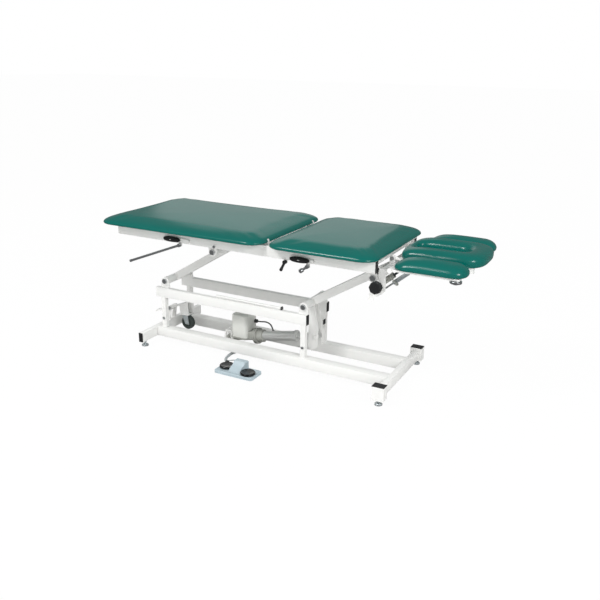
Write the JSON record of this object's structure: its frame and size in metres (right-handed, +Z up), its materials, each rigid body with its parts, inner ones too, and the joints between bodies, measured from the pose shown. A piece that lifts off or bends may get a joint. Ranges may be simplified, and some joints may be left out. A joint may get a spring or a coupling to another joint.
{
  "type": "treatment table",
  "caption": "Height-adjustable treatment table with a parallelogram lift, electric actuator, hinged leg and middle pads, tilting head pad with face opening, arm rests and foot switch.",
  "frame": {"origin": "centre of the overall footprint on the floor", "axes": "+X along the table towards the head end, -Y towards the side with the handles, +Z up"},
  "size_m": [1.8904, 0.6858, 0.708],
  "materials": {
    "white_steel": "semi-gloss powder coat",
    "black_plastic": "fine texture",
    "black_rubber": "matte",
    "zinc": "bright zinc",
    "steel_pin": "satin",
    "alloy_tube": "satin",
    "grey_casting": "satin",
    "motor_grey": "satin",
    "teal_vinyl": "soft gloss vinyl",
    "switch_grey": "satin",
    "pedal_black": "gloss",
    "sleeve_grey": "satin",
    "cable_dark": "matte",
    "chrome": "polished",
    "steel_dark": "blackened"
  },
  "bodies": {
    "base": {"base_cross_tubes": "white_steel", "base_rails": "white_steel", "base_posts": "white_steel", "mid_rails": "white_steel", "base_end_caps": "black_plastic", "base_brackets": "white_steel", "base_bolts": "steel_pin", "actuator_bracket": "white_steel", "conduit_tube": "white_steel", "foot_switch_housing": "switch_grey", "switch_gland": "black_plastic", "switch_sleeve": "sleeve_grey", "switch_cable": "sleeve_grey"},
    "leveller_foot_right": {"leveller_foot_right": "zinc"},
    "leveller_foot_left": {"leveller_foot_left": "zinc"},
    "leveller_head_right": {"leveller_head_right": "zinc"},
    "leveller_head_left": {"leveller_head_left": "zinc"},
    "foot_arm": {"foot_arm": "white_steel"},
    "head_arm": {"head_arm": "white_steel", "lever_plates": "white_steel"},
    "actuator_rod": {"actuator_rod": "alloy_tube"},
    "actuator_body": {"actuator_tube": "alloy_tube", "gearbox": "grey_casting", "motor_housing": "motor_grey", "motor_gland": "black_plastic", "motor_lead": "cable_dark"},
    "top_frame": {"top_rails": "white_steel", "top_rail_caps": "black_plastic", "top_cross_tubes": "white_steel", "top_brackets": "white_steel", "top_bolts": "steel_pin", "pad_rests": "black_rubber"},
    "leg_section": {"leg_pad": "teal_vinyl", "leg_frame": "white_steel"},
    "mid_section": {"mid_pad": "teal_vinyl", "mid_frame": "white_steel"},
    "head_section": {"head_pad": "teal_vinyl", "head_frame": "white_steel"},
    "gas_spring_rod": {"gas_spring_rod": "chrome"},
    "gas_spring_body": {"gas_spring_body": "zinc"},
    "lock_rod": {"lock_rod": "steel_dark"},
    "clamp_block": {"clamp_block": "grey_casting"},
    "clamp_lever": {"clamp_lever": "grey_casting"},
    "clamp_knob": {"clamp_knob": "black_plastic"},
    "arm_rest_right": {"arm_pad_right": "teal_vinyl", "arm_carrier_right": "white_steel"},
    "arm_rest_left": {"arm_pad_left": "teal_vinyl", "arm_carrier_left": "white_steel"},
    "arm_knob_right": {"arm_knob_right": "steel_pin"},
    "arm_knob_left": {"arm_knob_left": "steel_pin"},
    "leg_paddle": {"leg_paddle": "black_plastic"},
    "leg_release_rod": {"leg_release_rod": "steel_pin"},
    "mid_paddle": {"mid_paddle": "black_plastic"},
    "mid_ball_lever": {"mid_ball_lever": "black_plastic"},
    "mid_release_rod": {"mid_release_rod": "steel_pin"},
    "caster_arm": {"caster_arm": "white_steel"},
    "caster_fork": {"caster_fork": "zinc"},
    "caster_wheel": {"caster_wheel": "black_rubber"},
    "pedal_lower": {"pedal_lower": "pedal_black"},
    "pedal_raise": {"pedal_raise": "pedal_black"}
  },
  "joints": [
    {"name": "lift", "type": "hinge", "parent": "base", "child": "head_arm", "pos_m": [0.1125, 0, 0.334], "axis": [0, -1, 0], "range_deg": [-18.4, 43.6]},
    {"name": "foot_lift", "type": "hinge", "parent": "base", "child": "foot_arm", "pos_m": [-0.7105, 0, 0.334], "axis": [0, -1, 0], "range_deg": [-19, 44.2]},
    {"name": "top_level", "type": "hinge", "parent": "head_arm", "child": "top_frame", "pos_m": [0.5085, 0, 0.576], "axis": [0, -1, 0], "range_deg": [-44.2, 19]},
    {"name": "rod_swing", "type": "hinge", "parent": "head_arm", "child": "actuator_rod", "pos_m": [0.139, 0, 0.155], "axis": [0, -1, 0], "range_deg": [-42.2, 18.2]},
    {"name": "actuator_stroke", "type": "slide", "parent": "actuator_rod", "child": "actuator_body", "axis": [-0.9809, 0, -0.1946], "range_m": [-0.0555, 0.1305]},
    {"name": "leg_tilt", "type": "hinge", "parent": "top_frame", "child": "leg_section", "pos_m": [-0.022, 0, 0.668], "axis": [0, 1, 0], "range_deg": [0, 60]},
    {"name": "mid_tilt", "type": "hinge", "parent": "top_frame", "child": "mid_section", "pos_m": [0.5325, 0, 0.668], "axis": [0, 1, 0], "range_deg": [0, 35]},
    {"name": "head_tilt", "type": "hinge", "parent": "top_frame", "child": "head_section", "pos_m": [0.554, 0, 0.646], "axis": [0, -1, 0], "range_deg": [-30, 25]},
    {"name": "gas_spring_swing", "type": "hinge", "parent": "top_frame", "child": "gas_spring_rod", "pos_m": [0.502, -0.14, 0.481], "axis": [0, -1, 0], "range_deg": [-8.6, 7.2]},
    {"name": "gas_spring_stroke", "type": "slide", "parent": "gas_spring_rod", "child": "gas_spring_body", "axis": [0.765, 0, 0.644], "range_m": [-0.049, 0.041]},
    {"name": "lock_rod_swing", "type": "hinge", "parent": "head_section", "child": "lock_rod", "pos_m": [0.64, -0.14, 0.6346], "axis": [0, -1, 0], "range_deg": [-15.2, 18.2]},
    {"name": "clamp_swivel", "type": "hinge", "parent": "top_frame", "child": "clamp_block", "pos_m": [0.533, -0.14, 0.543], "axis": [0, -1, 0], "range_deg": [-12.4, 10.4]},
    {"name": "clamp_lever_turn", "type": "hinge", "parent": "clamp_block", "child": "clamp_lever", "pos_m": [0.56141, -0.14, 0.56732], "axis": [0, -1, 0], "range_deg": [0, 25]},
    {"name": "clamp_knob_turn", "type": "hinge", "parent": "clamp_block", "child": "clamp_knob", "pos_m": [0.533, -0.25, 0.543], "axis": [0, -1, 0], "continuous": true},
    {"name": "arm_drop_right", "type": "hinge", "parent": "head_section", "child": "arm_rest_right", "pos_m": [0.6, -0.232, 0.634], "axis": [0, 1, 0], "range_deg": [0, 40]},
    {"name": "arm_drop_left", "type": "hinge", "parent": "head_section", "child": "arm_rest_left", "pos_m": [0.6, 0.232, 0.634], "axis": [0, 1, 0], "range_deg": [0, 40]},
    {"name": "arm_knob_turn_right", "type": "hinge", "parent": "arm_rest_right", "child": "arm_knob_right", "pos_m": [0.875, -0.27, 0.622], "axis": [0, 0, 1], "continuous": true},
    {"name": "arm_knob_turn_left", "type": "hinge", "parent": "arm_rest_left", "child": "arm_knob_left", "pos_m": [0.875, 0.27, 0.622], "axis": [0, 0, 1], "continuous": true},
    {"name": "leg_paddle_pull", "type": "hinge", "parent": "top_frame", "child": "leg_paddle", "pos_m": [-0.436, -0.268, 0.62], "axis": [0, 1, 0], "range_deg": [0, 8], "stiffness_Nm_per_rad": 3, "springref_deg": -2.86},
    {"name": "leg_rod_pull", "type": "hinge", "parent": "top_frame", "child": "leg_release_rod", "pos_m": [-0.486, -0.268, 0.594], "axis": [0, 1, 0], "range_deg": [0, 12]},
    {"name": "mid_paddle_pull", "type": "hinge", "parent": "top_frame", "child": "mid_paddle", "pos_m": [0.232, -0.268, 0.616], "axis": [0, 1, 0], "range_deg": [0, 8], "stiffness_Nm_per_rad": 3, "springref_deg": -2.86},
    {"name": "mid_ball_lever_pull", "type": "hinge", "parent": "top_frame", "child": "mid_ball_lever", "pos_m": [0.096, -0.268, 0.594], "axis": [0, 1, 0], "range_deg": [0, 20]},
    {"name": "mid_rod_pull", "type": "hinge", "parent": "top_frame", "child": "mid_release_rod", "pos_m": [0.209, -0.268, 0.589], "axis": [0, 1, 0], "range_deg": [0, 15]},
    {"name": "caster_lower", "type": "hinge", "parent": "base", "child": "caster_arm", "pos_m": [-0.754, 0, 0.151], "axis": [0, 1, 0], "range_deg": [0, 28]},
    {"name": "caster_swivel", "type": "hinge", "parent": "caster_arm", "child": "caster_fork", "pos_m": [-0.659, 0, 0.12], "axis": [0, 0, 1], "continuous": true},
    {"name": "caster_roll", "type": "hinge", "parent": "caster_fork", "child": "caster_wheel", "pos_m": [-0.649, 0, 0.08], "axis": [0, 1, 0], "continuous": true},
    {"name": "pedal_lower_press", "type": "slide", "parent": "base", "child": "pedal_lower", "axis": [0, 0, -1], "range_m": [0, 0.003], "stiffness_N_per_m": 1500, "springref_m": -0.002},
    {"name": "pedal_raise_press", "type": "slide", "parent": "base", "child": "pedal_raise", "axis": [0, 0, -1], "range_m": [0, 0.003], "stiffness_N_per_m": 1500, "springref_m": -0.002},
    {"name": "leveller_turn_foot_right", "type": "hinge", "parent": "base", "child": "leveller_foot_right", "pos_m": [-0.766, -0.229, 0.02], "axis": [0, 0, 1], "continuous": true},
    {"name": "leveller_turn_foot_left", "type": "hinge", "parent": "base", "child": "leveller_foot_left", "pos_m": [-0.766, 0.229, 0.02], "axis": [0, 0, 1], "continuous": true},
    {"name": "leveller_turn_head_right", "type": "hinge", "parent": "base", "child": "leveller_head_right", "pos_m": [0.574, -0.259, 0.02], "axis": [0, 0, 1], "continuous": true},
    {"name": "leveller_turn_head_left", "type": "hinge", "parent": "base", "child": "leveller_head_left", "pos_m": [0.574, 0.259, 0.02], "axis": [0, 0, 1], "continuous": true}
  ],
  "couplings": [
    {"joint": "foot_lift", "follows": "lift", "ratio": 1},
    {"joint": "top_level", "follows": "lift", "ratio": -1},
    {"joint": "rod_swing", "follows": "lift", "ratio": -0.955},
    {"joint": "actuator_stroke", "follows": "lift", "m_per_rad": 0.1696},
    {"joint": "gas_spring_swing", "follows": "head_tilt", "ratio": 0.277},
    {"joint": "gas_spring_stroke", "follows": "head_tilt", "m_per_rad": 0.0911},
    {"joint": "lock_rod_swing", "follows": "head_tilt", "ratio": -0.597},
    {"joint": "clamp_swivel", "follows": "head_tilt", "ratio": 0.403}
  ]
}
